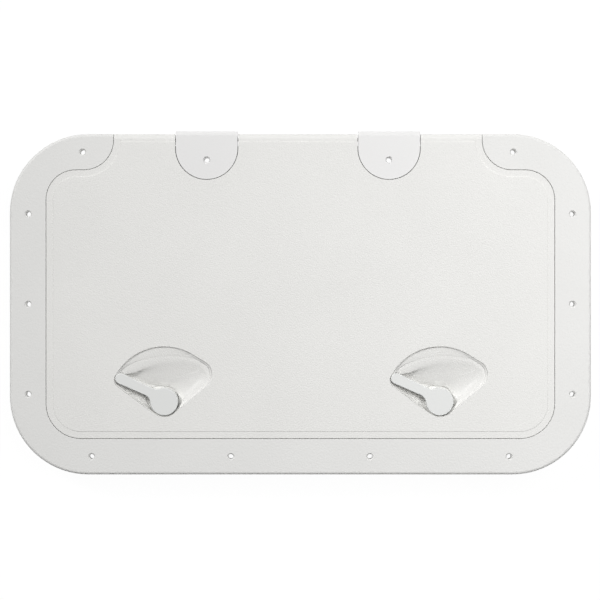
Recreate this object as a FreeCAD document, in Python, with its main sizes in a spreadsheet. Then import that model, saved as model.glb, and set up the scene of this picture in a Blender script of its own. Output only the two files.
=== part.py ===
import FreeCAD, Part
import math
import os
import Sketcher
from types import SimpleNamespace

# Access hatch for a boat's deck. Origin: middle of the flange, on the deck surface.
# +X runs along the length, +Y points to the hinge side, +Z points up out of the deck.

DRIVING_SIZES = [
    ("flange_length", 606, "length of the frame flange"),
    ("flange_width", 355, "width of the frame flange, front to rear"),
    ("flange_corner", 82, "radius of the flange corners in plan"),
    ("frame_height", 12, "top of the frame above the deck"),
    ("frame_wall", 3, "wall of the frame moulding"),
    ("flange_round", 3, "rounding of the flange's top edge"),
    ("seam_round", 0.3, "rounding of the moulded edges along the seam"),
    ("skirt_foot_gap", 1, "height of the flange ribs above the deck"),
    ("seam_length", 530, "length between the side seams of lid and frame"),
    ("seam_front", 140, "front seam from the middle"),
    ("seam_rear", 140, "rear shoulder of the seam from the middle"),
    ("seam_gap", 0.5, "gap between lid and frame at the seam"),
    ("front_corner", 36.5, "radius of the front seam corners"),
    ("rear_corner", 31, "radius of the rear seam shoulders"),
    ("lobe_edge", 192, "inner edge of the frame's rear lobes from the hinge line's middle"),
    ("lobe_corner", 31, "radius of the lobes' inner corners"),
    ("hinge_shift", 2.6, "hinge line's middle left of the hatch's middle"),
    ("collar_depth", 30, "depth of the collar below the deck"),
    ("gutter_width", 14.6, "width of the rain gutter"),
    ("gutter_depth", 8, "gutter floor below the deck"),
    ("upstand_wall", 2.5, "wall of the upstand that carries the seal"),
    ("upstand_top", 3.7, "top of the upstand above the deck"),
    ("ledge_drop", 3.5, "rear ledge below the frame's top"),
    ("ledge_gap", 1.1, "gap between the ledge and the lid's rolled edge"),
    ("catch_length", 26, "length of each catch pad"),
    ("screw_core", 5.2, "hole for a deck screw"),
    ("screw_sink", 7.6, "countersink of a deck screw"),
    ("screw_boss", 12, "boss round a deck screw"),
    ("side_screw_x", 283.5, "side screws from the middle"),
    ("side_screw_y", 94, "side screws front and rear of the middle"),
    ("front_screw_y", 158.8, "front screws in front of the middle"),
    ("front_screw_outer", 217.5, "outer front screws from the middle"),
    ("front_screw_inner", 72.5, "inner front screws from the middle"),
    ("rear_screw_x", 224.4, "rear lobe screws from the hinge line's middle"),
    ("rear_screw_y", 158.5, "rear lobe screws behind the middle"),
    ("rib_wall", 2, "stiffening ribs of frame and lid"),
    ("lid_wall", 3, "wall of the lid's plate"),
    ("field_rise", 0.5, "rise of the lid's grained field"),
    ("field_inset", 7.3, "field's edge inside the lid's edge"),
    ("rim_wall", 2.5, "wall of the lid's drip rim"),
    ("rim_depth", 8.5, "depth of the drip rim under the lid's plate"),
    ("lid_rib_depth", 5, "depth of the lid's ribs under its plate"),
    ("long_rib_pitch", 40, "pitch of the lid's long ribs"),
    ("cross_rib_pitch", 82, "pitch of the lid's cross ribs"),
    ("barrel_radius", 5.7, "radius of the lid's rolled rear edge"),
    ("axis_setback", 171.8, "hinge axis behind the middle"),
    ("tab_place", 95, "hinge tabs from the hinge line's middle"),
    ("tab_width", 64.2, "width of a hinge tab"),
    ("tab_gap", 0.8, "gap round a hinge tab in the lid's notch"),
    ("tab_centre", 162.5, "centre of a tab's round front behind the middle"),
    ("tab_rear", 180.5, "rear edge of a tab behind the middle"),
    ("tab_wall", 4, "thickness of a tab's plate"),
    ("tab_screw_y", 150.3, "tab screw behind the middle"),
    ("tab_seat", 0.5, "depth of a tab's seat in the ledge"),
    ("tab_seat_gap", 0.3, "gap round a tab in its seat"),
    ("tab_top_round", 5, "rounding of a tab's rear top edge"),
    ("pin_diameter", 4, "hinge pin"),
    ("pin_length", 92, "length of a hinge pin"),
    ("pin_gap_lid", 0.07, "clearance round a pin in the lid's bore"),
    ("pin_gap_tab", 0.03, "clearance round a pin in its tab"),
    ("seal_wall", 1.2, "seal's wall each side of the upstand"),
    ("seal_grip", 7.5, "how far the seal reaches down the upstand"),
    ("seal_gap", 0.3, "gap between the seal and the lid at rest"),
    ("slot_gap", 0.05, "clearance of the seal's slot on the upstand"),
    ("hub_x", 143.6, "lever axes from the middle between them"),
    ("hub_shift", 1.7, "middle between the lever axes right of the hatch's middle"),
    ("hub_y", 101.6, "lever axes in front of the middle"),
    ("dish_hub", 17.2, "radius of the dish round the lever's hub"),
    ("dish_tip_x", 42.7, "dish's tip pocket to the left of the lever axis"),
    ("dish_tip_y", 23, "dish's tip pocket behind the lever axis"),
    ("dish_tip", 9.7, "radius of the dish's tip pocket"),
    ("dish_bulge_x", 35.8, "dish's right bulge from the lever axis"),
    ("dish_bulge_y", 22.5, "dish's right bulge behind the lever axis"),
    ("dish_bulge", 22, "radius of the dish's right bulge"),
    ("dish_slope", 0.25, "how far the dish's wall slopes in"),
    ("dish_roll", 0.8, "roll from the field into the dish"),
    ("dish_foot", 1.2, "hollow between the dish's wall and its shelf"),
    ("shelf_depth", 4, "dish's shelf below the field"),
    ("shelf_edge", 0.25, "width of the shelf where it is narrowest, round the hub and the tip pocket"),
    ("bowl_hub", 16.4, "radius of the bowl's mouth round the hub"),
    ("bowl_tip", 8.9, "radius of the bowl's mouth round the lever's tip"),
    ("bowl_bulge_x", 36.5, "bulge of the bowl's mouth from the lever axis"),
    ("bowl_bulge_y", 23.5, "bulge of the bowl's mouth behind the lever axis"),
    ("bowl_bulge", 12.5, "radius of the bulge of the bowl's mouth"),
    ("bowl_arch_y", 46, "centre of the bowl's rear arch in front of the lever axis"),
    ("floor_depth", 13.5, "bowl's floor below the field"),
    ("floor_hub", 15.2, "radius of the bowl's floor round the hub"),
    ("floor_tip_x", 27, "floor's tip end to the left of the lever axis"),
    ("floor_tip_y", 14, "floor's tip end behind the lever axis"),
    ("floor_tip", 5.5, "radius of the floor's tip end"),
    ("floor_bulge_x", 17, "floor's bulge from the lever axis"),
    ("floor_bulge_y", 16.5, "floor's bulge behind the lever axis"),
    ("floor_bulge", 9, "radius of the floor's bulge"),
    ("dish_wall", 2.5, "wall of the dish"),
    ("boss_radius", 9.5, "boss under the lever's hub"),
    ("boss_drop", 8.5, "boss below the dish's underside"),
    ("lever_hub", 14.4, "radius of the lever's hub"),
    ("lever_reach", 51.4, "lever axis to the centre of the lever's tip"),
    ("lever_angle", 152, "direction of the lever from +X at rest, degrees"),
    ("lever_tip", 5.7, "radius of the lever's tip"),
    ("lever_taper", 2, "widening of the rear side of the arm towards the hub, degrees"),
    ("lever_front_taper", 4.5, "widening of the front side of the arm towards the hub, degrees"),
    ("lever_neck", 10, "radius of the hollows between hub and arm"),
    ("lever_proud", 0.3, "lever's top above the lid's plate"),
    ("lever_arm_wall", 3.4, "thickness of the lever's arm at its tip"),
    ("lever_flat", 40, "end of the rib under the arm from the lever axis"),
    ("lever_rib_depth", 6.4, "depth of that rib at the hub"),
    ("lever_round", 0.9, "rounding of the lever's top edges"),
    ("lever_floor_gap", 0.3, "gap between the hub and the bowl's floor"),
    ("stem_diameter", 10, "lever's stem"),
    ("stem_gap", 0.08, "clearance round the stem"),
    ("square_side", 7, "square at the stem's end"),
    ("square_gap", 0.1, "clearance of the cam on the square"),
    ("cord_diameter", 2.2, "section of the stem's seal ring"),
    ("ring_gap", 0.05, "clearance round the seal ring"),
    ("spacer_wall", 0.5, "slip washer between boss and cam"),
    ("spacer_diameter", 18, "outside of the slip washer"),
    ("cam_wall", 5, "thickness of the cam"),
    ("cam_hub", 10, "radius of the cam's hub"),
    ("cam_reach", 26, "axis to the centre of the cam's end"),
    ("cam_end", 6.5, "radius of the cam's end"),
    ("cam_ramp", 2, "bevel on the cam's leading edges"),
    ("catch_gap", 0.5, "gap between the turned cam and its catch"),
    ("washer_diameter", 14, "steel washer under the cam's screw"),
    ("washer_wall", 1, "thickness of the steel washer"),
    ("washer_gap", 0.2, "clearance of the washer on its screw"),
    ("bolt_diameter", 5, "screw that holds the cam"),
    ("bolt_gap", 0.05, "clearance round that screw's thread"),
    ("bolt_length", 15, "length of that screw under its head"),
    ("bolt_head", 9.5, "diameter of that screw's head"),
    ("bolt_head_height", 3, "height of that screw's head"),
    ("bolt_head_round", 1.2, "rounding of that screw's head"),
    ("bolt_tip_gap", 0.6, "room beyond the tip of that screw"),
    ("bolt_socket", 4, "hexagon socket across its corners"),
    ("bolt_socket_depth", 1.8, "depth of the hexagon socket"),
]

doc = FreeCAD.newDocument("access_hatch")
sheet = doc.addObject("Spreadsheet::Sheet", "sizes")
for row, (name, number, meaning) in enumerate(DRIVING_SIZES, start=1):
    sheet.set(f"A{row}", name)
    sheet.set(f"B{row}", str(number))
    sheet.set(f"C{row}", meaning)
    sheet.setAlias(f"B{row}", name)
doc.recompute()


class Size:
    """A size of the sheet, or arithmetic on sizes: its value and the expression that gives it."""

    def __init__(self, value, text):
        self.value = value
        self.text = text

    @staticmethod
    def of(number):
        return number if isinstance(number, Size) else Size(number, repr(number))

    def __add__(self, other):
        other = Size.of(other)
        return Size(self.value + other.value, f"({self.text} + {other.text})")

    def __sub__(self, other):
        other = Size.of(other)
        return Size(self.value - other.value, f"({self.text} - {other.text})")

    def __mul__(self, other):
        other = Size.of(other)
        return Size(self.value * other.value, f"({self.text} * {other.text})")

    def __truediv__(self, other):
        other = Size.of(other)
        return Size(self.value / other.value, f"({self.text} / {other.text})")

    def __neg__(self):
        return Size(-self.value, f"(0 - {self.text})")


d = SimpleNamespace(**{name: Size(float(sheet.get(name)), f"sizes.{name}")
                       for name, _, _ in DRIVING_SIZES})
zero = Size(0.0, "0")

# Levels above the deck, and lengths that several pieces share.
frame_top = d.frame_height
frame_under = frame_top - d.frame_wall
lid_under = frame_top - d.lid_wall
field_top = frame_top + d.field_rise
ledge_top = frame_top - d.ledge_drop
ledge_under = ledge_top - d.frame_wall
ledge_rear = d.axis_setback - d.barrel_radius - d.ledge_gap
axis_height = frame_top - d.barrel_radius
gutter_top = -d.gutter_depth
gutter_under = gutter_top - d.frame_wall
half_seam = d.seam_gap / 2
half_length = d.seam_length / 2
shelf_level = field_top - d.shelf_depth
floor_level = field_top - d.floor_depth
dish_under = floor_level - d.dish_wall
boss_under = dish_under - d.boss_drop
cam_top = boss_under - d.spacer_wall
cam_under = cam_top - d.cam_wall
catch_under = cam_top + d.catch_gap
lever_top = frame_top + d.lever_proud
lever_arm_under = lever_top - d.lever_arm_wall
hub_under = floor_level + d.lever_floor_gap
square_under = cam_under + d.square_gap
washer_under = cam_under - d.washer_wall
beyond = Size(10.0, "10")


def new_body(name):
    body = doc.addObject("PartDesign::Body", name)
    body.Label = name
    return body


def origin_plane(body, role):
    return next(plane for plane in body.Origin.OriginFeatures if plane.Role == role)


def new_sketch(body, name, level, role="XY_Plane", shift=(zero, zero), turn=None):
    """A sketch on one of the body's own planes, lifted along that plane's normal to a level."""
    sketch = body.newObject("Sketcher::SketchObject", name)
    sketch.AttachmentSupport = [(origin_plane(body, role), "")]
    sketch.MapMode = "FlatFace"
    if turn is not None:
        turned = FreeCAD.Rotation(FreeCAD.Vector(0, 0, 1), turn.value)
        sketch.AttachmentOffset = FreeCAD.Placement(FreeCAD.Vector(0, 0, 0), turned)
        sketch.setExpression("AttachmentOffset.Rotation.Angle", turn.text)
    sketch.setExpression("AttachmentOffset.Base.x", shift[0].text)
    sketch.setExpression("AttachmentOffset.Base.y", shift[1].text)
    sketch.setExpression("AttachmentOffset.Base.z", level.text)
    return sketch


def bind(sketch, kind, *items):
    """Adds a constraint whose last item is a size, and ties it to that size's expression."""
    *places, size = items
    index = sketch.addConstraint(Sketcher.Constraint(kind, *places, size.value))
    sketch.setExpression(f"Constraints[{index}]", size.text)


def pin_point(sketch, edge, end, x, y):
    bind(sketch, "DistanceX", -1, 1, edge, end, x)
    bind(sketch, "DistanceY", -1, 1, edge, end, y)


def arc_between(start, end, radius, turn):
    """Circle arc between two points: turn is 1 when it runs anticlockwise, -1 clockwise."""
    middle = (start + end) * 0.5
    chord = end - start
    rise = math.sqrt(max(radius * radius - chord.Length * chord.Length / 4, 0))
    left = FreeCAD.Vector(-chord.y, chord.x, 0).normalize()
    centre = middle + left * (rise * turn)
    first, last = (start, end) if turn > 0 else (end, start)
    angles = [math.atan2(point.y - centre.y, point.x - centre.x) for point in (first, last)]
    if angles[1] <= angles[0]:
        angles[1] += 2 * math.pi
    return Part.ArcOfCircle(Part.Circle(centre, FreeCAD.Vector(0, 0, 1), radius), *angles)


def draw_outline(sketch, corners):
    """Closed outline. A corner is x, y, and for a curved edge to the next one its radius and turn."""
    first_edge = sketch.GeometryCount
    ends = []
    for index, corner in enumerate(corners):
        following = corners[(index + 1) % len(corners)]
        start = FreeCAD.Vector(corner[0].value, corner[1].value, 0)
        end = FreeCAD.Vector(following[0].value, following[1].value, 0)
        if len(corner) == 2:
            sketch.addGeometry(Part.LineSegment(start, end), False)
            ends.append((1, 2))
        else:
            sketch.addGeometry(arc_between(start, end, corner[2].value, corner[3]), False)
            ends.append((1, 2) if corner[3] > 0 else (2, 1))
    for index, corner in enumerate(corners):
        edge = first_edge + index
        before = first_edge + (index - 1) % len(corners)
        last_end = ends[(index - 1) % len(corners)][1]
        sketch.addConstraint(Sketcher.Constraint("Coincident", before, last_end, edge, ends[index][0]))
        pin_point(sketch, edge, ends[index][0], corner[0], corner[1])
        if len(corner) > 2:
            bind(sketch, "Radius", edge, corner[2])


def draw_circle(sketch, x, y, radius):
    centre = FreeCAD.Vector(x.value, y.value, 0)
    edge = sketch.addGeometry(Part.Circle(centre, FreeCAD.Vector(0, 0, 1), radius.value), False)
    pin_point(sketch, edge, 3, x, y)
    bind(sketch, "Radius", edge, radius)


def rectangle(left, right, front, rear):
    return [(left, front), (right, front), (right, rear), (left, rear)]


def rounded_rectangle(half_x, front, rear, front_radius, rear_radius):
    """Outline about the middle: half_x each side, front and rear as distances from the middle."""
    return [
        (front_radius - half_x, -front),
        (half_x - front_radius, -front, front_radius, 1),
        (half_x, front_radius - front),
        (half_x, rear - rear_radius, rear_radius, 1),
        (half_x - rear_radius, rear),
        (rear_radius - half_x, rear, rear_radius, 1),
        (-half_x, rear - rear_radius),
        (-half_x, front_radius - front, front_radius, 1),
    ]


def seam_outline(grow, rear_end):
    """The seam's line, moved outwards by grow: front corners, rear shoulders and the lobes' S-curves."""
    side = half_length + grow
    front = -(d.seam_front + grow)
    shoulder = d.seam_rear + grow
    lobe = d.lobe_edge + grow
    shift = d.hinge_shift
    front_x = half_length - d.front_corner
    front_y = d.front_corner - d.seam_front
    rear_x = half_length - d.rear_corner
    rear_y = d.seam_rear - d.rear_corner
    lobe_x = d.lobe_edge + d.lobe_corner
    lobe_y = d.seam_rear + d.lobe_corner
    front_radius = d.front_corner + grow
    rear_radius = d.rear_corner + grow
    lobe_radius = d.lobe_corner - grow
    return [
        (-front_x, front),
        (front_x, front, front_radius, 1),
        (side, front_y),
        (side, rear_y, rear_radius, 1),
        (rear_x, shoulder),
        (lobe_x - shift, shoulder, lobe_radius, -1),
        (lobe - shift, lobe_y),
        (lobe - shift, rear_end),
        (-lobe - shift, rear_end),
        (-lobe - shift, lobe_y, lobe_radius, -1),
        (-lobe_x - shift, shoulder),
        (-rear_x, shoulder, rear_radius, 1),
        (-side, rear_y),
        (-side, front_y, front_radius, 1),
    ]


def collar_outline(grow):
    """The seam's line without its lobes: a rounded rectangle, moved outwards by grow."""
    front_radius = d.front_corner + grow
    rear_radius = d.rear_corner + grow
    return rounded_rectangle(half_length + grow, d.seam_front + grow, d.seam_rear + grow,
                             front_radius, rear_radius)


def tab_outline(middle, half_width, rear_end):
    """D shape of a hinge tab: a round front about the tab's centre, straight sides to the rear."""
    return [
        (middle - half_width, d.tab_centre, half_width, 1),
        (middle, d.tab_centre - half_width, half_width, 1),
        (middle + half_width, d.tab_centre),
        (middle + half_width, rear_end),
        (middle - half_width, rear_end),
    ]


def pad(body, name, low, high, outlines):
    sketch = new_sketch(body, f"{name}_sketch", low)
    for outline in outlines:
        draw_outline(sketch, outline)
    return pad_sketch(body, name, sketch, high - low)


def pad_sketch(body, name, sketch, length):
    feature = body.newObject("PartDesign::Pad", name)
    feature.Profile = sketch
    feature.setExpression("Length", length.text)
    return feature


def cut(body, name, low, high, outlines):
    """Takes material away between two levels: the sketch lies on the upper one."""
    sketch = new_sketch(body, f"{name}_sketch", high)
    for outline in outlines:
        draw_outline(sketch, outline)
    return cut_sketch(body, name, sketch, high - low)


def cut_sketch(body, name, sketch, length):
    feature = body.newObject("PartDesign::Pocket", name)
    feature.Profile = sketch
    feature.setExpression("Length", length.text)
    return feature


def circles(body, name, level, places, radius):
    sketch = new_sketch(body, f"{name}_sketch", level)
    for x, y in places:
        draw_circle(sketch, x, y, radius)
    return sketch


def wanted_edges(base, wanted):
    doc.recompute()
    return [f"Edge{number}" for number, edge in enumerate(base.Shape.Edges, start=1) if wanted(edge)]


def round_edges(body, name, base, wanted, radius):
    """Fillet on the edges of the base feature that the test wants."""
    edges = wanted_edges(base, wanted)
    feature = body.newObject("PartDesign::Fillet", name)
    feature.Base = (base, edges)
    feature.setExpression("Radius", radius.text)
    return feature


def bevel_edges(body, name, base, wanted, size):
    edges = wanted_edges(base, wanted)
    feature = body.newObject("PartDesign::Chamfer", name)
    feature.Base = (base, edges)
    feature.setExpression("Size", size.text)
    return feature


def lies_at(level):
    """Test for edges that lie flat at a level."""
    def wanted(edge):
        box = edge.BoundBox
        return abs(box.ZMin - level.value) < 0.001 and abs(box.ZMax - level.value) < 0.001
    return wanted


def screw_holes(body, name, level, places):
    """Through holes with a shallow countersink in the face at a level."""
    doc.recompute()
    through = circles(body, f"{name}_core", level, places, d.screw_core / 2)
    cut_sketch(body, f"{name}_bore", through, level + d.collar_depth)
    sink = circles(body, f"{name}_sink", level, places, d.screw_sink / 2)
    feature = body.newObject("PartDesign::Pocket", f"{name}_countersink")
    feature.Profile = sink
    feature.setExpression("Length", ((d.screw_sink - d.screw_core) / 2).text)
    feature.TaperAngle = -45
    return feature


# Frame: one white moulding with a hollow flange, a collar through the deck,
# a rain gutter, the seal's upstand, and a low ledge at the rear for the hinges.

frame = new_body("frame")
flange = pad(frame, "flange", zero, frame_top,
             [rounded_rectangle(d.flange_length / 2, d.flange_width / 2, d.flange_width / 2,
                                d.flange_corner, d.flange_corner)])
round_edges(frame, "flange_edge", flange, lies_at(frame_top), d.flange_round)
cut(frame, "flange_hollow", zero, frame_under,
    [rounded_rectangle(d.flange_length / 2 - d.frame_wall, d.flange_width / 2 - d.frame_wall,
                       d.flange_width / 2 - d.frame_wall, d.flange_corner - d.frame_wall,
                       d.flange_corner - d.frame_wall)])
pad(frame, "seam_block", zero, frame_under,
    [seam_outline(half_seam + d.frame_wall, (d.flange_width - d.frame_wall) / 2)])
seam_opening = cut(frame, "seam_opening", ledge_top, frame_top,
                   [seam_outline(half_seam, d.flange_width / 2 + beyond)])


def along_seam(edge):
    """Test for the upper edges of the seam, in front of the flange's rounded rear edge."""
    box = edge.BoundBox
    inside = abs(box.XMin) < half_length.value + 1 and abs(box.XMax) < half_length.value + 1
    return lies_at(frame_top)(edge) and inside and box.YMin > -(d.seam_front.value + 1)


round_edges(frame, "seam_edge", seam_opening, along_seam, d.seam_round)
cut(frame, "ledge_hollow", zero, ledge_under, [seam_outline(half_seam, d.flange_width / 2 + beyond)])
cut(frame, "barrel_space", zero, ledge_top,
    [rectangle(-(d.lobe_edge + half_seam) - d.hinge_shift, d.lobe_edge + half_seam - d.hinge_shift,
               ledge_rear, d.flange_width / 2 + beyond)])
pad(frame, "ledge_wall", zero, ledge_under,
    [rectangle(-(d.lobe_edge + d.frame_wall) - d.hinge_shift, d.lobe_edge + d.frame_wall - d.hinge_shift,
               ledge_rear - d.frame_wall, ledge_rear)])
pad(frame, "collar", -d.collar_depth, ledge_under, [collar_outline(half_seam + d.frame_wall)])
cut(frame, "hatchway", -d.collar_depth, ledge_top, [collar_outline(half_seam)])
upstand_outer = half_seam - d.gutter_width
upstand_inner = upstand_outer - d.upstand_wall
pad(frame, "gutter", gutter_under, gutter_top,
    [collar_outline(half_seam + d.frame_wall / 2), collar_outline(upstand_inner)])
pad(frame, "upstand", gutter_top, d.upstand_top,
    [collar_outline(upstand_outer), collar_outline(upstand_inner)])

tab_half = d.tab_width / 2
seat_half = tab_half + d.tab_seat_gap
tab_middles = (-d.tab_place - d.hinge_shift, d.tab_place - d.hinge_shift)
pad(frame, "tab_shelves", ledge_under, ledge_top,
    [tab_outline(middle, seat_half, ledge_rear - d.frame_wall / 2) for middle in tab_middles])
cut(frame, "tab_seats", ledge_top - d.tab_seat, ledge_top,
    [tab_outline(middle, seat_half, ledge_rear + beyond) for middle in tab_middles])

hub_middles = (-d.hub_x + d.hub_shift, d.hub_x + d.hub_shift)
catch_front = -(d.seam_front + half_seam + d.frame_wall / 2)
catch_rear = -(d.seam_front + upstand_inner)
pad(frame, "catch_pads", catch_under, gutter_under,
    [rectangle(middle - d.catch_length / 2, middle + d.catch_length / 2, catch_front, catch_rear)
     for middle in hub_middles])

flange_screws = [(x, y) for x in (-d.side_screw_x, d.side_screw_x)
                 for y in (-d.side_screw_y, zero, d.side_screw_y)]
flange_screws += [(x, -d.front_screw_y) for x in (-d.front_screw_outer, -d.front_screw_inner,
                                                 d.front_screw_inner, d.front_screw_outer)]
flange_screws += [(x - d.hinge_shift, d.rear_screw_y) for x in (-d.rear_screw_x, d.rear_screw_x)]
tab_screws = [(middle, d.tab_screw_y) for middle in tab_middles]
boss_sketch = circles(frame, "flange_bosses", zero, flange_screws, d.screw_boss / 2)
pad_sketch(frame, "flange_bosses", boss_sketch, frame_under)
tab_boss_sketch = circles(frame, "tab_bosses", zero, tab_screws, d.screw_boss / 2)
pad_sketch(frame, "tab_bosses", tab_boss_sketch, ledge_under)

rib_half = d.rib_wall / 2
collar_side = half_length + half_seam + d.frame_wall / 2
collar_front = d.seam_front + half_seam + d.frame_wall / 2
skirt_side = (d.flange_length - d.frame_wall) / 2
skirt_front = (d.flange_width - d.frame_wall) / 2
side_ribs = [rectangle(min_x, max_x, y - rib_half, y + rib_half)
             for min_x, max_x in ((-skirt_side, -collar_side), (collar_side, skirt_side))
             for y in (-d.side_screw_y / 2, d.side_screw_y / 2)]
front_ribs = [rectangle(x - rib_half, x + rib_half, -skirt_front, -collar_front)
              for x in (-(d.front_screw_outer + d.front_screw_inner) / 2, zero,
                        (d.front_screw_outer + d.front_screw_inner) / 2)]
pad(frame, "flange_ribs", d.skirt_foot_gap, frame_under, side_ribs + front_ribs)
screw_holes(frame, "flange_screws", frame_top, flange_screws)
tab_bore = circles(frame, "tab_screw_bores", ledge_top, tab_screws, d.screw_core / 2)
cut_sketch(frame, "tab_screw_bore", tab_bore, ledge_top)


# Lid: one moulding of the same white plastic, with a grained field that stands a little proud,
# a drip rim in the gutter, ribs underneath, two lever dishes and a rolled, bored rear edge.

lid = new_body("lid")
lid_seam = -half_seam
plate = pad(lid, "plate", lid_under, frame_top, [seam_outline(lid_seam, d.axis_setback)])
round_edges(lid, "plate_edge", plate,
            lambda edge: lies_at(frame_top)(edge) and edge.BoundBox.YMin < d.axis_setback.value - 1,
            d.seam_round)
barrel_half = d.lobe_edge - half_seam
barrel_sketch = new_sketch(lid, "barrel_sketch", barrel_half - d.hinge_shift, "YZ_Plane")
draw_circle(barrel_sketch, d.axis_setback, axis_height, d.barrel_radius)
barrel = pad_sketch(lid, "barrel", barrel_sketch, barrel_half * 2)
barrel.Reversed = True
pad(lid, "field", frame_top, field_top,
    [seam_outline(lid_seam - d.field_inset, d.axis_setback - d.barrel_radius / 2)])
rim_outer = collar_outline(lid_seam)
pad(lid, "drip_rim", lid_under - d.rim_depth, lid_under, [rim_outer, collar_outline(lid_seam - d.rim_wall)])

rib_low = lid_under - d.lid_rib_depth
seal_inner = upstand_inner - d.seal_wall - d.seal_gap
rib_end_x = half_length + seal_inner - d.rim_wall
rib_end_y = d.seam_front + seal_inner - d.rim_wall
long_ribs = [rectangle(-rib_end_x, rib_end_x, d.long_rib_pitch * step - rib_half,
                       d.long_rib_pitch * step + rib_half) for step in (-2, -1, 0, 1, 2)]
cross_ribs = [rectangle(d.cross_rib_pitch * step - rib_half, d.cross_rib_pitch * step + rib_half,
                        -rib_end_y, rib_end_y) for step in (-2.5, -1.5, -0.5, 0.5, 1.5, 2.5)]
pad(lid, "long_ribs", rib_low, lid_under, long_ribs)
pad(lid, "cross_ribs", rib_low, lid_under, cross_ribs)


def circle_tangent(start, start_radius, end, end_radius):
    """Ends of the outer tangent that passes two circles on their right, going from the first."""
    across = end - start
    bearing = math.atan2(across.y, across.x)
    spread = math.acos((start_radius - end_radius) / across.Length)
    normal = FreeCAD.Vector(math.cos(bearing - spread), math.sin(bearing - spread), 0)
    return start + normal * start_radius, end + normal * end_radius


def circle_arc(centre, radius, first, last):
    angles = [math.atan2(point.y - centre.y, point.x - centre.x) for point in (first, last)]
    if angles[1] <= angles[0]:
        angles[1] += 2 * math.pi
    return Part.ArcOfCircle(Part.Circle(centre, FreeCAD.Vector(0, 0, 1), radius), *angles)


def draw_dish(sketch, hub_radius, tip, arch_y, bulge):
    """Fan round a lever: hub, right bulge, rear arch and tip pocket, each tangent to the next.

    tip and bulge are x, y and radius. The arch's centre lies arch_y in front of the lever axis.
    """
    hub_point = FreeCAD.Vector(0, 0, 0)
    tip_point = FreeCAD.Vector(tip[0].value, tip[1].value, 0)
    bulge_point = FreeCAD.Vector(bulge[0].value, bulge[1].value, 0)
    arch_point = FreeCAD.Vector(0, -arch_y.value, 0)
    to_tip = tip_point - arch_point
    arch_radius = to_tip.Length + tip[2].value
    arch_end = tip_point + to_tip.normalize() * tip[2].value
    right_start, right_end = circle_tangent(hub_point, hub_radius.value, bulge_point, bulge[2].value)
    rear_start, rear_end = circle_tangent(bulge_point, bulge[2].value, arch_point, arch_radius)
    left_start, left_end = circle_tangent(tip_point, tip[2].value, hub_point, hub_radius.value)
    edges = [
        circle_arc(hub_point, hub_radius.value, left_end, right_start),
        Part.LineSegment(right_start, right_end),
        circle_arc(bulge_point, bulge[2].value, right_end, rear_start),
        Part.LineSegment(rear_start, rear_end),
        circle_arc(arch_point, arch_radius, rear_end, arch_end),
        circle_arc(tip_point, tip[2].value, arch_end, left_start),
        Part.LineSegment(left_start, left_end),
    ]
    sketch.addGeometry(edges, False)
    hub_arc, bulge_arc, arch_arc, tip_arc = 0, 2, 4, 5
    for edge in range(len(edges)):
        sketch.addConstraint(Sketcher.Constraint("Tangent", edge, 2, (edge + 1) % len(edges), 1))
    sketch.addConstraint(Sketcher.Constraint("Coincident", -1, 1, hub_arc, 3))
    pin_point(sketch, bulge_arc, 3, bulge[0], bulge[1])
    pin_point(sketch, arch_arc, 3, zero, -arch_y)
    pin_point(sketch, tip_arc, 3, tip[0], tip[1])
    bind(sketch, "Radius", hub_arc, hub_radius)
    bind(sketch, "Radius", bulge_arc, bulge[2])
    bind(sketch, "Radius", tip_arc, tip[2])


def dish_section(body, name, level, middle, shape, grow):
    hub_radius, tip, arch_y, bulge = shape
    sketch = new_sketch(body, name, level, shift=(middle, -d.hub_y))
    draw_dish(sketch, hub_radius + grow, (tip[0], tip[1], tip[2] + grow), arch_y,
              (bulge[0], bulge[1], bulge[2] + grow))
    return sketch


def dish_loft(body, name, kind, middle, stations, straight=True):
    """Loft down through sections of the dish, each a level, a shape and how far it is grown."""
    sections = [dish_section(body, f"{name}_{number}", level, middle, shape, grow)
                for number, (level, shape, grow) in enumerate(stations)]
    feature = body.newObject(f"PartDesign::{kind}Loft", name)
    feature.Profile = sections[0]
    feature.Sections = sections[1:]
    feature.Ruled = straight
    return feature


def between(first, last, share):
    """Shape of the dish at a share of the way from one shape to another."""
    if isinstance(first, tuple):
        return tuple(between(one, other, share) for one, other in zip(first, last))
    return first + (last - first) * share


rim_shape = (d.dish_hub, (-d.dish_tip_x, d.dish_tip_y, d.dish_tip), zero,
             (d.dish_bulge_x, d.dish_bulge_y, d.dish_bulge))
mouth_shape = (d.bowl_hub, (-d.dish_tip_x, d.dish_tip_y, d.bowl_tip), d.bowl_arch_y,
               (d.bowl_bulge_x, d.bowl_bulge_y, d.bowl_bulge))
floor_shape = (d.floor_hub, (-d.floor_tip_x, d.floor_tip_y, d.floor_tip), d.bowl_arch_y,
               (d.floor_bulge_x, d.floor_bulge_y, d.floor_bulge))

foot_width = d.dish_slope + d.dish_foot
foot_shape = (d.bowl_hub + d.shelf_edge, (-d.dish_tip_x, d.dish_tip_y, d.bowl_tip + d.shelf_edge), zero,
              (d.dish_bulge_x, d.dish_bulge_y, d.dish_bulge - foot_width))

# The dish's edge rolls over from the field, falls steeply and hollows out into the shelf.
# Its profile gives distances inside the rim's line and the levels there.
quarter_turn = [(round(math.sin(math.radians(angle)), 6), round(math.cos(math.radians(angle)), 6))
                for angle in (0, 22.5, 45, 67.5, 90)]
edge_profile = [(d.dish_roll * (sine - 1), field_top - d.dish_roll * (1 - cosine))
                for sine, cosine in quarter_turn]
edge_profile += [(d.dish_slope + d.dish_foot * (1 - cosine), shelf_level + d.dish_foot * (1 - sine))
                 for sine, cosine in quarter_turn]
edge_stations = [(level, between(rim_shape, foot_shape, inside / foot_width), zero)
                 for inside, level in edge_profile]

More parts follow.
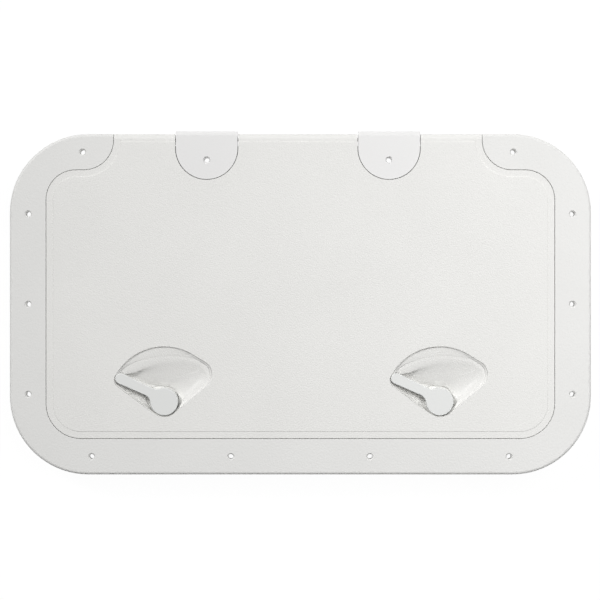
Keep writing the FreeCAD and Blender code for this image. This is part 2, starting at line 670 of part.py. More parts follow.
# The bowl's wall: shares of its way in from the mouth to the floor, and of its depth.
bowl_profile = [(0, 0), (0.05, 0.02), (0.2, 0.12), (0.45, 0.32), (0.7, 0.58), (0.88, 0.84), (0.97, 0.965),
                (1.04, 1)]
bowl_depth = shelf_level - floor_level
bowl_stations = [(shelf_level - bowl_depth * depth, between(mouth_shape, floor_shape, way), zero)
                 for way, depth in bowl_profile]
shell_stations = [(shelf_level - bowl_depth * depth - d.dish_wall, between(mouth_shape, floor_shape, way),
                   d.dish_wall) for way, depth in ((0, 0), (0.7, 0.58), (1, 1))]

for side, middle in zip(("left", "right"), hub_middles):
    shelf_under = shelf_level - d.dish_wall
    dish_loft(lid, f"dish_shell_{side}", "Additive", middle,
              [(lid_under, rim_shape, d.dish_wall - d.dish_slope / 2),
               (shelf_under, rim_shape, d.dish_wall - d.dish_slope)])
    dish_loft(lid, f"bowl_shell_{side}", "Additive", middle, shell_stations)
    boss = circles(lid, f"boss_{side}", boss_under, [(middle, -d.hub_y)], d.boss_radius)
    pad_sketch(lid, f"boss_{side}", boss, floor_level - boss_under)
for side, middle in zip(("left", "right"), hub_middles):
    dish_loft(lid, f"dish_{side}", "Subtractive", middle, edge_stations)
    dish_loft(lid, f"bowl_{side}", "Subtractive", middle, bowl_stations, straight=False)
    stem_bore = circles(lid, f"stem_bore_{side}", floor_level, [(middle, -d.hub_y)],
                        d.stem_diameter / 2 + d.stem_gap)
    cut_sketch(lid, f"stem_bore_{side}", stem_bore, floor_level - boss_under)
    ring_seat = circles(lid, f"ring_seat_{side}", floor_level, [(middle, -d.hub_y)],
                        d.stem_diameter / 2 + d.cord_diameter + d.ring_gap * 2)
    cut_sketch(lid, f"ring_seat_{side}", ring_seat, d.cord_diameter + d.ring_gap * 2)

notch_half = tab_half + d.tab_gap
cut(lid, "tab_notches", lid_under - d.rim_depth, field_top,
    [tab_outline(middle, notch_half, d.tab_rear + beyond) for middle in tab_middles])
bore_end = d.tab_place - d.pin_length / 2 - d.tab_gap
for side, reverse in (("right", False), ("left", True)):
    start = -barrel_half if reverse else barrel_half
    bore_sketch = new_sketch(lid, f"pin_bore_{side}_sketch", start - d.hinge_shift, "YZ_Plane")
    draw_circle(bore_sketch, d.axis_setback, axis_height, d.pin_diameter / 2 + d.pin_gap_lid)
    bore = cut_sketch(lid, f"pin_bore_{side}", bore_sketch, barrel_half - bore_end)
    bore.Reversed = reverse


def place(piece, x, y, z, turn=zero):
    """Puts a sub-part where its sizes say, turned about the vertical."""
    turned = FreeCAD.Rotation(FreeCAD.Vector(0, 0, 1), turn.value)
    piece.Placement = FreeCAD.Placement(FreeCAD.Vector(x.value, y.value, z.value), turned)
    for axis, size in (("x", x), ("y", y), ("z", z)):
        piece.setExpression(f"Placement.Base.{axis}", size.text)
    if turn is not zero:
        piece.setExpression("Placement.Rotation.Angle", turn.text)


# Gasket: a rubber section pushed over the upstand, its flat head just under the lid.

gasket = new_body("gasket")
seal_low = d.upstand_top - d.seal_grip
pad(gasket, "section", seal_low, lid_under - d.seal_gap,
    [collar_outline(upstand_outer + d.seal_wall), collar_outline(upstand_inner - d.seal_wall)])
cut(gasket, "slot", seal_low, d.upstand_top,
    [collar_outline(upstand_outer + d.slot_gap), collar_outline(upstand_inner - d.slot_gap)])

# Hinge tabs: a D-shaped plate screwed down over the ledge, with a bored block behind it
# that takes the hinge pin between the two lengths of the lid's rolled edge.

tab_foot = axis_height - d.barrel_radius
tab_round = d.tab_top_round
hinge_tabs = []
for side, middle in zip(("left", "right"), tab_middles):
    tab = new_body(f"hinge_tab_{side}")
    pad(tab, f"tab_plate_{side}", frame_top - d.tab_wall, frame_top,
        [tab_outline(zero, tab_half, d.axis_setback)])
    block_sketch = new_sketch(tab, f"tab_block_{side}_sketch", tab_half, "YZ_Plane")
    block_front = ledge_rear + d.tab_seat_gap
    draw_outline(block_sketch, [
        (block_front, tab_foot),
        (d.tab_rear - tab_round, tab_foot, tab_round, 1),
        (d.tab_rear, tab_foot + tab_round),
        (d.tab_rear, frame_top - tab_round, tab_round, 1),
        (d.tab_rear - tab_round, frame_top),
        (block_front, frame_top),
    ])
    block = pad_sketch(tab, f"tab_block_{side}", block_sketch, d.tab_width)
    block.Reversed = True
    bore_sketch = new_sketch(tab, f"tab_bore_{side}_sketch", tab_half, "YZ_Plane")
    draw_circle(bore_sketch, d.axis_setback, axis_height, d.pin_diameter / 2 + d.pin_gap_tab)
    cut_sketch(tab, f"tab_bore_{side}", bore_sketch, d.tab_width)
    screw_holes(tab, f"tab_screw_{side}", frame_top, [(zero, d.tab_screw_y)])
    place(tab, middle, zero, zero)
    hinge_tabs.append(tab)

# Hinge pins: plain stainless rod, pushed in from the ends of the lid's rolled edge.

hinge_pins = []
for side, middle in zip(("left", "right"), tab_middles):
    pin = doc.addObject("Part::Cylinder", f"hinge_pin_{side}")
    pin.Label = f"hinge_pin_{side}"
    pin.setExpression("Radius", (d.pin_diameter / 2).text)
    pin.setExpression("Height", d.pin_length.text)
    lying = FreeCAD.Rotation(FreeCAD.Vector(0, 1, 0), 90)
    start = middle - d.pin_length / 2
    pin.Placement = FreeCAD.Placement(FreeCAD.Vector(start.value, 0, 0), lying)
    pin.setExpression("Placement.Base.x", start.text)
    pin.setExpression("Placement.Base.y", d.axis_setback.text)
    pin.setExpression("Placement.Base.z", axis_height.text)
    hinge_pins.append(pin)


def draw_lever(sketch):
    """Lever in plan, drawn along +X: hub, hollow necks, tapering arm and round tip.

    The arm widens more on its left, which is the front side on the lid.
    """
    hub, reach, tip, neck = d.lever_hub.value, d.lever_reach.value, d.lever_tip.value, d.lever_neck.value
    origin = FreeCAD.Vector(0, 0, 0)
    tip_point = FreeCAD.Vector(reach, 0, 0)
    sides = []
    for turn, widening in ((1, d.lever_front_taper), (-1, d.lever_taper)):
        taper = math.radians(widening.value)
        normal = FreeCAD.Vector(math.sin(taper), turn * math.cos(taper), 0)
        forward = FreeCAD.Vector(math.cos(taper), -turn * math.sin(taper), 0)
        offset = reach * math.sin(taper) + tip + neck
        along = math.sqrt((hub + neck) ** 2 - offset ** 2)
        neck_centre = normal * offset + forward * along
        sides.append((neck_centre, neck_centre * (hub / (hub + neck)), neck_centre - normal * neck,
                      tip_point + normal * tip))
    (left_neck, left_hub, left_arm, left_tip), (right_neck, right_hub, right_arm, right_tip) = sides
    sketch.addGeometry([
        circle_arc(origin, hub, left_hub, right_hub),
        circle_arc(right_neck, neck, right_arm, right_hub),
        Part.LineSegment(right_arm, right_tip),
        circle_arc(tip_point, tip, right_tip, left_tip),
        Part.LineSegment(left_tip, left_arm),
        circle_arc(left_neck, neck, left_hub, left_arm),
    ], False)
    hub_arc, right_neck_arc, right_side, tip_arc, left_side, left_neck_arc = range(6)
    joints = [(hub_arc, 2, right_neck_arc, 2), (right_neck_arc, 1, right_side, 1),
              (right_side, 2, tip_arc, 1), (tip_arc, 2, left_side, 1),
              (left_side, 2, left_neck_arc, 2), (left_neck_arc, 1, hub_arc, 1)]
    for joint in joints:
        sketch.addConstraint(Sketcher.Constraint("Tangent", *joint))
    sketch.addConstraint(Sketcher.Constraint("Coincident", -1, 1, hub_arc, 3))
    pin_point(sketch, tip_arc, 3, d.lever_reach, zero)
    for arc, radius in ((hub_arc, d.lever_hub), (right_neck_arc, d.lever_neck), (tip_arc, d.lever_tip),
                        (left_neck_arc, d.lever_neck)):
        bind(sketch, "Radius", arc, radius)
    for line, axis_end, widening in ((right_side, 1, d.lever_taper), (left_side, 2, d.lever_front_taper)):
        angle = sketch.addConstraint(Sketcher.Constraint("Angle", -1, axis_end, line, 1,
                                                         math.radians(widening.value)))
        sketch.setExpression(f"Constraints[{angle}]", widening.text)


def draw_belt(sketch, near_radius, reach, far_radius):
    """Outline drawn tight round two circles: one on the axis, one out along +X."""
    near, far, middle = near_radius.value, far_radius.value, FreeCAD.Vector(reach.value, 0, 0)
    origin = FreeCAD.Vector(0, 0, 0)
    right_near, right_far = circle_tangent(origin, near, middle, far)
    left_far, left_near = circle_tangent(middle, far, origin, near)
    sketch.addGeometry([
        circle_arc(origin, near, left_near, right_near),
        Part.LineSegment(right_near, right_far),
        circle_arc(middle, far, right_far, left_far),
        Part.LineSegment(left_far, left_near),
    ], False)
    for edge in range(4):
        sketch.addConstraint(Sketcher.Constraint("Tangent", edge, 2, (edge + 1) % 4, 1))
    sketch.addConstraint(Sketcher.Constraint("Coincident", -1, 1, 0, 3))
    pin_point(sketch, 2, 3, reach, zero)
    bind(sketch, "Radius", 0, near_radius)
    bind(sketch, "Radius", 2, far_radius)


def centred_square(half):
    return rectangle(-half, half, -half, half)


# Levers: a hub and arm flush with the lid, a stem through the boss and a square for the cam.

handles = []
for side, middle in zip(("left", "right"), hub_middles):
    handle = new_body(f"handle_{side}")
    arm_sketch = new_sketch(handle, f"arm_{side}_sketch", lever_arm_under)
    draw_lever(arm_sketch)
    arm = pad_sketch(handle, f"arm_{side}", arm_sketch, d.lever_arm_wall)
    round_edges(handle, f"arm_edge_{side}", arm, lies_at(lever_top), d.lever_round)
    rib_sketch = new_sketch(handle, f"arm_rib_{side}_sketch", zero, "XZ_Plane")
    draw_outline(rib_sketch, [
        (zero, lever_arm_under - d.lever_rib_depth),
        (d.lever_hub, lever_arm_under - d.lever_rib_depth),
        (d.lever_flat, lever_arm_under),
        (zero, lever_arm_under),
    ])
    arm_rib = pad_sketch(handle, f"arm_rib_{side}", rib_sketch, d.lever_tip * 1.5)
    arm_rib.Midplane = True
    hub_sketch = circles(handle, f"hub_{side}", hub_under, [(zero, zero)], d.lever_hub)
    pad_sketch(handle, f"hub_{side}", hub_sketch, lever_arm_under - hub_under)
    stem_sketch = circles(handle, f"stem_{side}", cam_top, [(zero, zero)], d.stem_diameter / 2)
    pad_sketch(handle, f"stem_{side}", stem_sketch, hub_under - cam_top)
    square_sketch = new_sketch(handle, f"square_{side}_sketch", square_under,
                               turn=Size(180.0, "180") - d.lever_angle)
    draw_outline(square_sketch, centred_square(d.square_side / 2))
    pad_sketch(handle, f"square_{side}", square_sketch, cam_top - square_under)
    thread_top = washer_under + d.bolt_length + d.bolt_tip_gap
    thread_sketch = circles(handle, f"thread_{side}", thread_top, [(zero, zero)],
                            d.bolt_diameter / 2 + d.bolt_gap)
    cut_sketch(handle, f"thread_{side}", thread_sketch, thread_top - square_under)
    place(handle, middle, -d.hub_y, zero, d.lever_angle)
    handles.append(handle)


def ring(name, outer, inner, low, wall, middle):
    """A flat washer round a lever axis."""
    disc = doc.addObject("Part::Cylinder", f"{name}_disc")
    hole = doc.addObject("Part::Cylinder", f"{name}_hole")
    for cylinder, radius in ((disc, outer), (hole, inner)):
        cylinder.setExpression("Radius", radius.text)
        cylinder.setExpression("Height", wall.text)
    washer = doc.addObject("Part::Cut", name)
    washer.Base = disc
    washer.Tool = hole
    washer.Label = name
    place(washer, middle, -d.hub_y, low)
    return washer


# Under each lever: a rubber ring in its seat, a slip washer, the cam, a steel washer and a screw.

latch_parts = []
for side, middle in zip(("left", "right"), hub_middles):
    seal = doc.addObject("Part::Torus", f"stem_seal_{side}")
    seal.Label = f"stem_seal_{side}"
    seal.setExpression("Radius1", ((d.stem_diameter + d.cord_diameter) / 2 + d.ring_gap).text)
    seal.setExpression("Radius2", (d.cord_diameter / 2).text)
    place(seal, middle, -d.hub_y, floor_level - d.cord_diameter / 2 - d.ring_gap)

    slip = ring(f"slip_washer_{side}", d.spacer_diameter / 2, d.stem_diameter / 2 + d.stem_gap,
                cam_top, d.spacer_wall, middle)

    cam = new_body(f"latch_cam_{side}")
    cam_sketch = new_sketch(cam, f"cam_{side}_sketch", cam_under)
    draw_belt(cam_sketch, d.cam_hub, d.cam_reach, d.cam_end)
    blade = pad_sketch(cam, f"cam_{side}", cam_sketch, d.cam_wall)
    bevel_edges(cam, f"cam_ramp_{side}", blade,
                lambda edge: lies_at(cam_top)(edge) and edge.BoundBox.Center.x > 0, d.cam_ramp)
    cut(cam, f"cam_square_{side}", cam_under, cam_top, [centred_square(d.square_side / 2 + d.square_gap / 2)])
    place(cam, middle, -d.hub_y, zero)

    washer = ring(f"cam_washer_{side}", d.washer_diameter / 2, d.bolt_diameter / 2 + d.washer_gap,
                  washer_under, d.washer_wall, middle)

    bolt = new_body(f"cam_screw_{side}")
    head_under = washer_under - d.bolt_head_height
    head_sketch = circles(bolt, f"bolt_head_{side}", head_under, [(zero, zero)], d.bolt_head / 2)
    head = pad_sketch(bolt, f"bolt_head_{side}", head_sketch, d.bolt_head_height)
    round_edges(bolt, f"bolt_head_edge_{side}", head, lies_at(head_under), d.bolt_head_round)
    shank_sketch = circles(bolt, f"bolt_shank_{side}", washer_under, [(zero, zero)], d.bolt_diameter / 2)
    pad_sketch(bolt, f"bolt_shank_{side}", shank_sketch, d.bolt_length)
    socket_top = head_under + d.bolt_socket_depth
    socket_sketch = new_sketch(bolt, f"bolt_socket_{side}_sketch", socket_top)
    corners = [(d.bolt_socket / 2 * round(math.cos(math.radians(60 * step)), 6),
                d.bolt_socket / 2 * round(math.sin(math.radians(60 * step)), 6)) for step in range(6)]
    draw_outline(socket_sketch, corners)
    cut_sketch(bolt, f"bolt_socket_{side}", socket_sketch, d.bolt_socket_depth)
    place(bolt, middle, -d.hub_y, zero)
    latch_parts += [seal, slip, cam, washer, bolt]

sub_parts = [frame, gasket, lid, *hinge_tabs, *hinge_pins, *handles, *latch_parts]
doc.recompute()
for piece in doc.Objects:
    if "Invalid" in piece.State or "Error" in piece.State:
        raise RuntimeError(f"{piece.Label} failed: {piece.State}")
for piece in sub_parts:
    if piece.Shape.isNull() or not piece.Shape.isValid() or len(piece.Shape.Solids) != 1:
        raise RuntimeError(f"{piece.Label} is not one valid solid")

os.makedirs("parts", exist_ok=True)
for piece in sub_parts:
    piece.Shape.exportStep(f"parts/{piece.Label}.step")
    print(piece.Label, round(piece.Shape.Volume, 1))
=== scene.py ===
import bmesh
import bpy
import math
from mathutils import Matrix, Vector


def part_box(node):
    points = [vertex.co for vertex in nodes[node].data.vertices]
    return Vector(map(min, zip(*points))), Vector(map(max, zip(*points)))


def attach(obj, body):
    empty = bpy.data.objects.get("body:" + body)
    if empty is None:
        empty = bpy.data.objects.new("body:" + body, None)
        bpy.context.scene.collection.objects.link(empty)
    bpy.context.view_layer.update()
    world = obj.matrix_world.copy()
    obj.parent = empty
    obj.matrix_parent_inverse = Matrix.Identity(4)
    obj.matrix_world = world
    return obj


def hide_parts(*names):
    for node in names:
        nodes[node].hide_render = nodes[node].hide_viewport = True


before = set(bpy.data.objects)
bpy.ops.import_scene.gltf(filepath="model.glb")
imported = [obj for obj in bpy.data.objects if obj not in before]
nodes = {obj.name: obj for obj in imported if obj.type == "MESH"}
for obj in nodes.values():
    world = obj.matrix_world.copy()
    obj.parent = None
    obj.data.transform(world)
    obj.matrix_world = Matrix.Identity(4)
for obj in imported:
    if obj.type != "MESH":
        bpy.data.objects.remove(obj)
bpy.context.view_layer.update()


# The photographer's view: the hatch lies on its collar and is seen straight from above,
# from about two metres, through a long lens, so that its walls hardly show.
hatch_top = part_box("frame")[1].z
collar_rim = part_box("frame")[0].z
view_distance = 2.0
view_width = 0.62496
view_centre = (-0.0004, 0.0044)

camera_data = bpy.data.cameras.new("photo_camera")
camera_data.sensor_width = 36
camera_data.lens = camera_data.sensor_width * view_distance / view_width
camera = bpy.data.objects.new("photo_camera", camera_data)
camera.location = (*view_centre, hatch_top + view_distance)
bpy.context.scene.collection.objects.link(camera)
bpy.context.scene.camera = camera
bpy.context.scene.view_settings.view_transform = "Standard"


# The studio: a low sun-like key from the rear left draws the relief, a big soft light high over
# the right rear corner lifts that side, and the white room and the paper floor fill the rest.
key_data = bpy.data.lights.new("key_light", "SUN")
key_data.angle = math.radians(16)
key_data.energy = 1.9
key_light = bpy.data.objects.new("key_light", key_data)
key_light.rotation_euler = Vector((1.0, -0.95, -1.15)).to_track_quat("-Z", "Y").to_euler()
bpy.context.scene.collection.objects.link(key_light)

soft_data = bpy.data.lights.new("overhead_light", "AREA")
soft_data.shape = "SQUARE"
soft_data.size = 1.6
soft_data.energy = 38.5
overhead = bpy.data.objects.new("overhead_light", soft_data)
overhead.location = (1.0, 0.5, 2.0)
overhead.rotation_euler = (Vector((0.1, 0, 0)) - overhead.location).to_track_quat("-Z", "Y").to_euler()
bpy.context.scene.collection.objects.link(overhead)

room = bpy.data.worlds.new("white_room")
room.use_nodes = True
room_light = room.node_tree.nodes["Background"]
room_light.inputs["Strength"].default_value = 0.52
room_seen = room.node_tree.nodes.new("ShaderNodeBackground")
room_seen.inputs["Color"].default_value = (1, 1, 1, 1)
room_path = room.node_tree.nodes.new("ShaderNodeLightPath")
room_mix = room.node_tree.nodes.new("ShaderNodeMixShader")
room.node_tree.links.new(room_path.outputs["Is Camera Ray"], room_mix.inputs["Fac"])
room.node_tree.links.new(room_light.outputs["Background"], room_mix.inputs[1])
room.node_tree.links.new(room_seen.outputs["Background"], room_mix.inputs[2])
room.node_tree.links.new(room_mix.outputs["Shader"], room.node_tree.nodes["World Output"].inputs["Surface"])
bpy.context.scene.world = room

floor_mesh = bpy.data.meshes.new("studio_floor")
floor_mesh.from_pydata([(-9, -9, collar_rim), (9, -9, collar_rim), (9, 9, collar_rim), (-9, 9, collar_rim)],
                       [], [(0, 1, 2, 3)])
floor = bpy.data.objects.new("studio_floor", floor_mesh)
bpy.context.scene.collection.objects.link(floor)

paper = bpy.data.materials.new("white_paper")
paper.use_nodes = True
tree = paper.node_tree
paper_lit = tree.nodes["Principled BSDF"]
paper_lit.inputs["Base Color"].default_value = (0.85, 0.85, 0.85, 1)
paper_lit.inputs["Roughness"].default_value = 0.9
paper_glow = tree.nodes.new("ShaderNodeEmission")
paper_glow.inputs["Strength"].default_value = 1.03
paper_path = tree.nodes.new("ShaderNodeLightPath")
seen_direct = tree.nodes.new("ShaderNodeMath")
seen_direct.operation = "ADD"
seen_at_all = tree.nodes.new("ShaderNodeMath")
seen_at_all.operation = "ADD"
glow_share = tree.nodes.new("ShaderNodeMath")
glow_share.operation = "MULTIPLY"
glow_share.inputs[1].default_value = 0.94
glow_share.use_clamp = True
paper_mix = tree.nodes.new("ShaderNodeMixShader")
tree.links.new(paper_path.outputs["Is Camera Ray"], seen_direct.inputs[0])
tree.links.new(paper_path.outputs["Is Glossy Ray"], seen_direct.inputs[1])
tree.links.new(seen_direct.outputs["Value"], seen_at_all.inputs[0])
tree.links.new(paper_path.outputs["Is Transmission Ray"], seen_at_all.inputs[1])
tree.links.new(seen_at_all.outputs["Value"], glow_share.inputs[0])
tree.links.new(glow_share.outputs["Value"], paper_mix.inputs["Fac"])
tree.links.new(paper_lit.outputs["BSDF"], paper_mix.inputs[1])
tree.links.new(paper_glow.outputs["Emission"], paper_mix.inputs[2])
tree.links.new(paper_mix.outputs["Shader"], tree.nodes["Material Output"].inputs["Surface"])
floor_mesh.materials.append(paper)


# The frame: one injection moulding in white UV-stable ABS, with a fine satin skin from its mould.
# Every screw hole is countersunk, and the collar below goes through the deck.
def moulded_plastic(name, colour, roughness, grain_size, grain_depth, patch_size=0.09, patch_share=0.03):
    """White moulding: pebble grain of a cell size and depth, and a faint cloudiness of its colour."""
    material = bpy.data.materials.new(name)
    material.use_nodes = True
    tree = material.node_tree
    shader = tree.nodes["Principled BSDF"]
    place = tree.nodes.new("ShaderNodeTexCoord")
    shader.inputs["Roughness"].default_value = roughness

    clouds = tree.nodes.new("ShaderNodeTexNoise")
    clouds.inputs["Scale"].default_value = 1 / patch_size
    clouds.inputs["Detail"].default_value = 3
    tint = tree.nodes.new("ShaderNodeMix")
    tint.data_type = "RGBA"
    tint.inputs[6].default_value = (*[c * (1 - patch_share) for c in colour], 1)
    tint.inputs[7].default_value = (*[min(c * (1 + patch_share), 0.95) for c in colour], 1)
    tree.links.new(place.outputs["Object"], clouds.inputs["Vector"])
    tree.links.new(clouds.outputs["Fac"], tint.inputs["Factor"])
    tree.links.new(tint.outputs[2], shader.inputs["Base Color"])

    pebbles = tree.nodes.new("ShaderNodeTexNoise")
    pebbles.inputs["Scale"].default_value = 1 / grain_size
    pebbles.inputs["Detail"].default_value = 2
    pebbles.inputs["Roughness"].default_value = 0.6
    relief = tree.nodes.new("ShaderNodeBump")
    relief.inputs["Distance"].default_value = grain_depth
    relief.inputs["Strength"].default_value = 1
    tree.links.new(place.outputs["Object"], pebbles.inputs["Vector"])
    tree.links.new(pebbles.outputs["Fac"], relief.inputs["Height"])
    tree.links.new(relief.outputs["Normal"], shader.inputs["Normal"])
    return material


def finish_node(name, material):
    """Gives a moulded or turned piece its finish in place of the plain one it came with."""
    node = nodes[name]
    node.data.materials.clear()
    node.data.materials.append(material)


finish_node("frame", moulded_plastic("satin_white_abs", (0.775, 0.772, 0.757), 0.5, 0.0018, 0.00025))


# The gasket: a moulded profile of soft black rubber, pushed over the upstand inside the frame.
# The closed lid presses on it, and it shows only when the hatch is open.
rubber = moulded_plastic("black_rubber", (0.02, 0.02, 0.021), 0.75, 0.0006, 0.00004)
finish_node("gasket", rubber)


# The two hinge tabs: smooth white mouldings whose tongues lie flush in the lid's rear edge.
# Each has a countersunk hole for a deck screw and a bore in which the hinge pin turns.
tab_plastic = moulded_plastic("smooth_white_abs", (0.80, 0.795, 0.79), 0.42, 0.0014, 0.00006)
for side in ("left", "right"):
    finish_node(f"hinge_tab_{side}", tab_plastic)


# The hinge pins, and the washers and screws of the cams: turned from stainless steel, whose
# polish is a little uneven. The pins are pushed through the tabs into the lid from the side.
def turned_steel(name):
    """Stainless steel, bright in some spots and duller in others."""
    material = bpy.data.materials.new(name)
    material.use_nodes = True
    tree = material.node_tree
    shader = tree.nodes["Principled BSDF"]
    shader.inputs["Base Color"].default_value = (0.62, 0.61, 0.6, 1)
    shader.inputs["Metallic"].default_value = 1
    place = tree.nodes.new("ShaderNodeTexCoord")
    spots = tree.nodes.new("ShaderNodeTexNoise")
    spots.inputs["Scale"].default_value = 1600
    spots.inputs["Detail"].default_value = 3
    dullness = tree.nodes.new("ShaderNodeMapRange")
    dullness.inputs["To Min"].default_value = 0.22
    dullness.inputs["To Max"].default_value = 0.42
    tree.links.new(place.outputs["Object"], spots.inputs["Vector"])
    tree.links.new(spots.outputs["Fac"], dullness.inputs["Value"])
    tree.links.new(dullness.outputs["Result"], shader.inputs["Roughness"])
    return material


steel = turned_steel("stainless_rod")
for side in ("left", "right"):
    finish_node(f"hinge_pin_{side}", steel)
    finish_node(f"cam_washer_{side}", steel)
    finish_node(f"cam_screw_{side}", steel)


# The lid: one moulding of the same plastic with a pebble-grained top, a drip rim and ribs below.
# Its two lever dishes were sunk in the mould as soft scoops, so their skin is lofted here over
# the plate: a shallow rim that the lever's tip sweeps over, a faint crease, and a bowl for fingers.
mm = 0.001


def tangent(start, start_radius, end, end_radius):
    """Ends of the outer tangent that passes two circles on their right, going from the first.
    Where one circle lies inside the other, the point where they are nearest stands for it."""
    across = end - start
    bearing = math.atan2(across.y, across.x)
    lean = (start_radius - end_radius) / across.length
    spread = math.acos(max(-1, min(1, lean)))
    normal = Vector((math.cos(bearing - spread), math.sin(bearing - spread)))
    return start + normal * start_radius, end + normal * end_radius


almost_round = 1.9 * math.pi


def belt(circles, arc_steps, line_steps, softness):
    """Closed outline drawn round circles, anticlockwise: points, outward directions and softness.
    Where a circle is left out, its points lie along the straight line past it. A sweep of almost
    a whole turn belongs to a circle that the outline only touches, so it's taken as none."""
    used = [index for index, circle in enumerate(circles) if circle]
    ends = {}
    for index, following in zip(used, used[1:] + used[:1]):
        x, y, radius = circles[index]
        next_x, next_y, next_radius = circles[following]
        ends[index] = tangent(Vector((x, y)), radius, Vector((next_x, next_y)), next_radius)
    outline = []
    for place, index in enumerate(used):
        following = used[(place + 1) % len(used)]
        x, y, radius = circles[index]
        middle = Vector((x, y))
        first = ends[used[place - 1]][1] - middle
        last = ends[index][0] - middle
        angle = math.atan2(first.y, first.x)
        sweep = (math.atan2(last.y, last.x) - angle) % (2 * math.pi)
        if sweep > almost_round:
            sweep = 0
        for step in range(arc_steps[index] + 1):
            turn = angle + sweep * step / arc_steps[index]
            away = Vector((math.cos(turn), math.sin(turn)))
            outline.append((middle + away * radius, away, softness[index]))
        count = line_steps[index]
        for skipped in range(index + 1, following):
            count += arc_steps[skipped] + 1 + line_steps[skipped]
        for step in range(1, count + 1):
            share = step / (count + 1)
            soft = softness[index] + (softness[following] - softness[index]) * share
            outline.append((ends[index][0].lerp(ends[index][1], share), away, soft))
    return outline


# Circles that a dish's outline runs round, in millimetres from the lever axis: hub, right bulge,
# rear arch, both sides of the tip pocket, and the hub's shoulder.
dish_edge = ((0, 0, 16.0), (35, 28.6, 15.3), (0, 0, 57.85), (-43.5, 23, 8.7), (-43.6, 22.8, 8.7),
             (-4, 0.6, 14.6))
dish_crease = ((0, 0, 15.7), (34.6, 28.4, 13.0), (5.6, -45, 93.6), (-40.5, 24.5, 9.9), (-43.3, 22.8, 8.3),
               (-4, 0.6, 14.5))
dish_ridge = ((0, 0, 15.6), (33, 26, 11.5), (5.6, -52, 96), (-39.5, 23.5, 8.6), (-43.1, 22.7, 8.1),
              (-4, 0.6, 14.4))
dish_slope = ((0, 0, 15.5), (8, 11, 11.5), None, (-38, 22.3, 7.4), (-42.6, 22.4, 7.7), (-4, 0.6, 14.3))
dish_deep = ((0, 0, 15.4), (2, 4.5, 12.0), None, (-24, 13, 7.0), (-26, 12.4, 7.4), (-3, 0.6, 14.4))
dish_floor = ((0, 0, 15.3), (0.5, 1, 14.8), None, (-8, 4.5, 11.5), (-9, 4.2, 11.6), (-2, 0.6, 14.6))
# For each circle, the share of a ring's inset that is taken there, and the points on its arc and
# on the straight line after it.
dish_softness = (0.1, 1, 1, 0.55, 0.1, 0.1)
dish_arc_steps = (30, 28, 44, 10, 14, 12)
dish_line_steps = (10, 2, 1, 1, 14, 2)
# The skin from the field down to the floor: height over the deck, outline, and inset from it.
dish_skin = [(12.5, dish_edge, 0), (12.3, dish_edge, 0.4), (11.4, dish_edge, 0.9), (10.9, dish_edge, 2.3),
             (10.2, dish_crease, 0), (9.95, dish_crease, 0.7), (9.7, dish_ridge, 0), (8.6, dish_ridge, 6),
             (5.2, dish_slope, 0), (1.6, dish_deep, 0), (0, dish_floor, -0.4), (-1, dish_floor, 0)]
skin_steps = 3


def skin_rings(keys):
    """Rings of a dish's skin: smooth lines run through the matching points of the key outlines."""
    outlines = []
    for level, circles, inset in keys:
        outlines.append([Vector((*(point - away * inset * soft), level)) for point, away, soft
                         in belt(circles, dish_arc_steps, dish_line_steps, dish_softness)])
    rings = []
    for index in range(len(outlines) - 1):
        before = outlines[max(index - 1, 0)]
        after = outlines[min(index + 2, len(outlines) - 1)]
        for step in range(skin_steps):
            share = step / skin_steps
            ring = []
            for p0, p1, p2, p3 in zip(before, outlines[index], outlines[index + 1], after):
                ring.append(0.5 * (2 * p1 + (p2 - p0) * share
                                   + (2 * p0 - 5 * p1 + 4 * p2 - p3) * share ** 2
                                   + (3 * p1 - p0 - 3 * p2 + p3) * share ** 3))
            rings.append(ring)
    rings.append(outlines[-1])
    return rings


def closed_loop(mesh, points):
    """Edges that join the points of one ring."""
    verts = [mesh.verts.new(point) for point in points]
    return [mesh.edges.new((verts[index - 1], verts[index])) for index in range(len(verts))]


crease_angle = math.radians(32)


def merged_copy(name):
    """A mesh to work on, taken from a piece that came in and merged along its seams."""
    shape = bmesh.new()
    shape.from_mesh(nodes[name].data)
    bmesh.ops.remove_doubles(shape, verts=shape.verts, dist=0.001 * mm)
    return shape


def moulding(name, shape, material):
    """A moulded piece from its finished mesh, shaded smoothly but for its creases."""
    bmesh.ops.recalc_face_normals(shape, faces=shape.faces)
    for face in shape.faces:
        face.smooth = True
    for edge in shape.edges:
        edge.smooth = edge.calc_face_angle(0) < crease_angle
    mesh = bpy.data.meshes.new(name)
    shape.to_mesh(mesh)
    shape.free()
    mesh.materials.append(material)
    made = bpy.data.objects.new(name, mesh)
    bpy.context.scene.collection.objects.link(made)
    even = made.modifiers.new("even_shading", "WEIGHTED_NORMAL")
    even.keep_sharp = True
    return made


plate = merged_copy("lid")
field_top = 12.5 * mm
bowl_floor = -1 * mm
level_play = 0.02 * mm
seal_bore = 7.4 * mm
dish_reach = 68 * mm
dish_front = 25 * mm
lever_axes = {"left": Vector((-141.9 * mm, -101.6 * mm)), "right": Vector((145.3 * mm, -101.6 * mm))}


def lies_flat(part, level):
    """Whether every corner of a face or edge is at one level."""
    return all(abs(vert.co.z - level) < level_play for vert in part.verts)


def by_the_dish(edge, axis):
    """Whether an edge lies round one lever's dish, clear of the lid's own outline."""
    return all((vert.co.xy - axis).length < dish_reach and vert.co.y > axis.y - dish_front
               for vert in edge.verts)


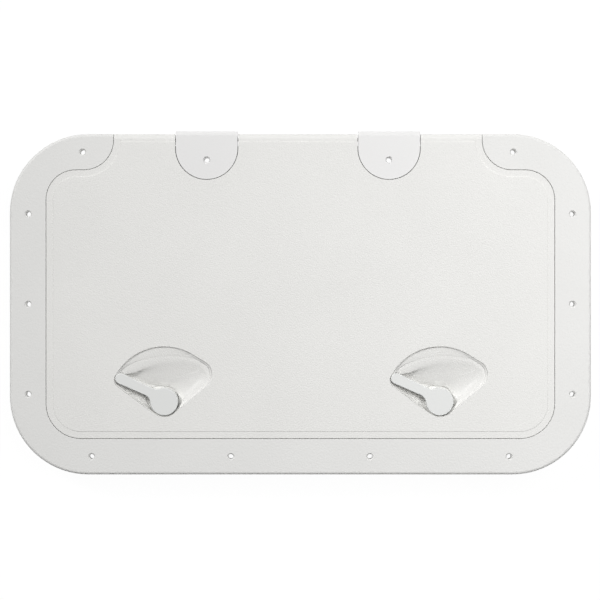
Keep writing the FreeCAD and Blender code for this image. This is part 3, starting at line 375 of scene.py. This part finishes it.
# The skin that came with the lid is taken off: all faces that join the field inside a dish, down
# to the seal's bore.
field = {face for face in plate.faces if face.normal.z > 0.9 and lies_flat(face, field_top)}
old_skin = set()
for axis in lever_axes.values():
    growing = [face for edge in {edge for face in field for edge in face.edges}
               if by_the_dish(edge, axis) for face in edge.link_faces if face not in field]
    while growing:
        face = growing.pop()
        in_bore = all((vert.co.xy - axis).length < seal_bore for vert in face.verts)
        if face in old_skin or face in field or in_bore:
            continue
        old_skin.add(face)
        growing.extend(other for edge in face.edges for other in edge.link_faces)
bmesh.ops.delete(plate, geom=[face for face in plate.faces if face in old_skin], context="FACES")

# The new skin is lofted through its rings and joined to the field and to the bore's edge.
skin_verts = set()
for axis in lever_axes.values():
    loops = [closed_loop(plate, [Vector((axis.x, axis.y, 0)) + point * mm for point in ring])
             for ring in skin_rings(dish_skin)]
    for outer, inner in zip(loops, loops[1:]):
        bmesh.ops.bridge_loops(plate, edges=outer + inner)
    skin_verts.update(vert for loop in loops for edge in loop for vert in edge.verts)
bmesh.ops.remove_doubles(plate, verts=[vert for vert in plate.verts if vert in skin_verts], dist=level_play)
open_edges = [edge for edge in plate.edges if edge.is_boundary]
for axis in lever_axes.values():
    for level in (field_top, bowl_floor):
        gap = [edge for edge in open_edges if lies_flat(edge, level)
               and (edge.verts[0].co.xy - axis).length < dish_reach]
        bmesh.ops.triangle_fill(plate, use_beauty=True, edges=gap, normal=(0, 0, 1))
grained_plastic = moulded_plastic("grained_white_abs", (0.80, 0.795, 0.775), 0.48, 0.0012, 0.00035)
lid_moulding = moulding("lid_moulding", plate, grained_plastic)
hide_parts("lid")
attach(lid_moulding, "lid")


# The stem seals and slip washers: a rubber ring in the lid's bore keeps water out round each
# lever's stem, and a thin washer of natural nylon lets the latch cam slide under the lid.
nylon = moulded_plastic("natural_nylon", (0.72, 0.71, 0.66), 0.5, 0.0014, 0.0001)
for side in ("left", "right"):
    finish_node(f"stem_seal_{side}", rubber)
    finish_node(f"slip_washer_{side}", nylon)


# The two twist levers: smooth white mouldings, each a round hub on a stem with a flat arm. The
# arm thins towards its tip, so that it sweeps over the shallow rim of the dish when it's turned.
lever_plastic = moulded_plastic("lever_white_abs", (0.765, 0.772, 0.76), 0.4, 0.0014, 0.00006)
hub_radius = 14.4 * mm
hub_play = 0.4 * mm
seat_top = 2.2 * mm
rib_start = 3.5 * mm
rib_slope = 0.2305
arm_underside = 8.9 * mm
thin_from = 36 * mm
thinning = 0.1286
for side, axis in lever_axes.items():
    arm = merged_copy(f"handle_{side}")
    for vert in arm.verts:
        reach = (vert.co.xy - axis).length
        if reach > hub_radius - hub_play and vert.co.z > seat_top:
            rib_edge = rib_start + rib_slope * (reach - hub_radius)
            underside = arm_underside + thinning * max(reach - thin_from, 0)
            vert.co.z = max(vert.co.z, min(rib_edge, underside))
    lever = moulding(f"lever_{side}_moulding", arm, lever_plastic)
    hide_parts(f"handle_{side}")
    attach(lever, f"lever_{side}")


# The latch cams: satin mouldings that fit the square ends of the stems and are held by the cam
# screws. Turned with the levers, they catch under the frame.
cam_plastic = moulded_plastic("satin_cam_abs", (0.76, 0.76, 0.745), 0.5, 0.0014, 0.0001)
for side in ("left", "right"):
    finish_node(f"latch_cam_{side}", cam_plastic)
